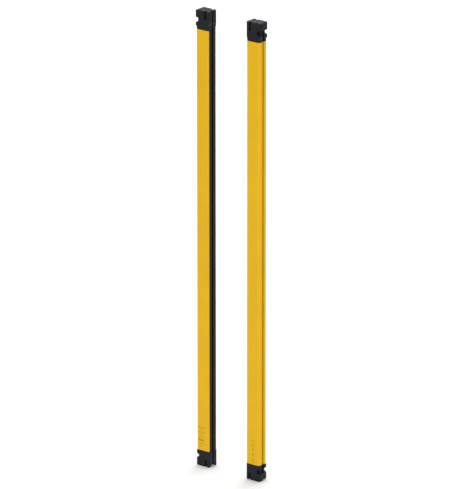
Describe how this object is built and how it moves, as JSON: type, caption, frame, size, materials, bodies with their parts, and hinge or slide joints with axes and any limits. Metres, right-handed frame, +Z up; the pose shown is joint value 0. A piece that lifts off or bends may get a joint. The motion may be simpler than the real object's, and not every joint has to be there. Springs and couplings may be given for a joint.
{
  "type": "safety light curtain",
  "caption": "Slim yellow emitter and receiver bars with dark windows facing each other, black end caps, a slot down each back and a plug socket below.",
  "frame": {"origin": "midway between the two bars, at the lowest plane of their bottom caps", "axes": "+Z up along the bars; +X from the emitter bar to the receiver bar; Y across the bars"},
  "size_m": [0.2002, 0.03, 1.164],
  "materials": {
    "yellow_aluminium": "satin",
    "dark_window": "gloss",
    "cap_plastic": "satin",
    "seal_rubber": "matte",
    "carrier_plastic": "matte",
    "clear_lens": "gloss",
    "circuit_board": "satin",
    "clear_led": "gloss",
    "dark_sensor": "gloss",
    "connector_plastic": "satin",
    "chip_plastic": "matte",
    "steel": "satin",
    "contact_brass": "gloss",
    "lead_plastic": "satin"
  },
  "bodies": {
    "root": {"emitter_beam_board_1": "circuit_board", "emitter_beam_board_2": "circuit_board", "emitter_beam_board_3": "circuit_board", "emitter_beam_board_4": "circuit_board", "emitter_board_links": "connector_plastic", "emitter_bottom_cap": "cap_plastic", "emitter_bottom_cap_gasket": "seal_rubber", "emitter_bottom_cap_screws": "steel", "emitter_connector_gasket": "seal_rubber", "emitter_connector_lead": "lead_plastic", "emitter_connector_pins": "contact_brass", "emitter_connector_screws": "steel", "emitter_connector_socket": "cap_plastic", "emitter_control_board": "circuit_board", "emitter_control_components": "chip_plastic", "emitter_earth_spring": "steel", "emitter_housing": "yellow_aluminium", "emitter_infrared_leds": "clear_led", "emitter_lens_strip_1": "clear_lens", "emitter_lens_strip_2": "clear_lens", "emitter_lens_strip_3": "clear_lens", "emitter_lens_strip_4": "clear_lens", "emitter_optics_carrier": "carrier_plastic", "emitter_status_lights": "clear_led", "emitter_top_cap": "cap_plastic", "emitter_top_cap_gasket": "seal_rubber", "emitter_top_cap_screws": "steel", "emitter_window": "dark_window", "emitter_window_seals": "seal_rubber", "receiver_beam_board_1": "circuit_board", "receiver_beam_board_2": "circuit_board", "receiver_beam_board_3": "circuit_board", "receiver_beam_board_4": "circuit_board", "receiver_board_links": "connector_plastic", "receiver_bottom_cap": "cap_plastic", "receiver_bottom_cap_gasket": "seal_rubber", "receiver_bottom_cap_screws": "steel", "receiver_connector_gasket": "seal_rubber", "receiver_connector_lead": "lead_plastic", "receiver_connector_pins": "contact_brass", "receiver_connector_screws": "steel", "receiver_connector_socket": "cap_plastic", "receiver_control_board": "circuit_board", "receiver_control_components": "chip_plastic", "receiver_earth_spring": "steel", "receiver_housing": "yellow_aluminium", "receiver_lens_strip_1": "clear_lens", "receiver_lens_strip_2": "clear_lens", "receiver_lens_strip_3": "clear_lens", "receiver_lens_strip_4": "clear_lens", "receiver_optics_carrier": "carrier_plastic", "receiver_photodiodes": "dark_sensor", "receiver_status_lights": "clear_led", "receiver_top_cap": "cap_plastic", "receiver_top_cap_gasket": "seal_rubber", "receiver_top_cap_screws": "steel", "receiver_window": "dark_window", "receiver_window_seals": "seal_rubber"}
  },
  "joints": []
}
